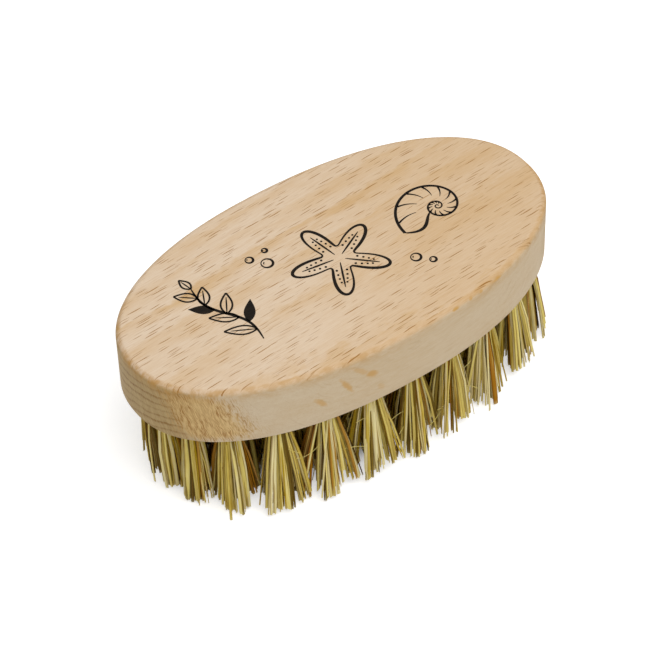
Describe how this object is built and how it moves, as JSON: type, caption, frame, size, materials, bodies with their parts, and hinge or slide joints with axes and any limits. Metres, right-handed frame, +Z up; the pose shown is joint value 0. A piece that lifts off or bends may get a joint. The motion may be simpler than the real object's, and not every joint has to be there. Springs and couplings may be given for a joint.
{
  "type": "mussel brush",
  "caption": "Oval hand brush with a flat-topped wooden block and closed rows of stiff plant-fibre tufts underneath, for scrubbing shellfish.",
  "frame": {"origin": "middle of the brush's outline, on the surface that its bristle tips stand on", "axes": "+X along the block's long side, +Z up out of its flat top face, bristles pointing to -Z"},
  "size_m": [0.12, 0.0634, 0.047],
  "materials": {
    "beech": "sanded and left unvarnished, with fine ray flecks",
    "fibre": "stiff plant fibre, straw to olive with some rust-brown and near-black strands",
    "wire": "drawn flat wire, only seen in a cut block",
    "ink": "matt black ink, printed on bare wood"
  },
  "bodies": {
    "root": {"block": "beech", "outer_tuft_01": "fibre", "outer_tuft_02": "fibre", "outer_tuft_03": "fibre", "outer_tuft_04": "fibre", "outer_tuft_05": "fibre", "outer_tuft_06": "fibre", "outer_tuft_07": "fibre", "outer_tuft_08": "fibre", "outer_tuft_09": "fibre", "outer_tuft_10": "fibre", "outer_tuft_11": "fibre", "outer_tuft_12": "fibre", "outer_tuft_13": "fibre", "outer_tuft_14": "fibre", "outer_tuft_15": "fibre", "outer_tuft_16": "fibre", "outer_tuft_17": "fibre", "outer_tuft_18": "fibre", "outer_tuft_19": "fibre", "outer_tuft_20": "fibre", "outer_tuft_21": "fibre", "outer_tuft_22": "fibre", "outer_tuft_23": "fibre", "middle_tuft_01": "fibre", "middle_tuft_02": "fibre", "middle_tuft_03": "fibre", "middle_tuft_04": "fibre", "middle_tuft_05": "fibre", "middle_tuft_06": "fibre", "middle_tuft_07": "fibre", "middle_tuft_08": "fibre", "middle_tuft_09": "fibre", "middle_tuft_10": "fibre", "middle_tuft_11": "fibre", "middle_tuft_12": "fibre", "middle_tuft_13": "fibre", "middle_tuft_14": "fibre", "middle_tuft_15": "fibre", "middle_tuft_16": "fibre", "inner_tuft_01": "fibre", "inner_tuft_02": "fibre", "inner_tuft_03": "fibre", "inner_tuft_04": "fibre", "inner_tuft_05": "fibre", "inner_tuft_06": "fibre", "inner_tuft_07": "fibre", "inner_tuft_08": "fibre", "inner_tuft_09": "fibre", "inner_tuft_10": "fibre", "inner_tuft_11": "fibre", "inner_tuft_12": "fibre"}
  },
  "joints": []
}
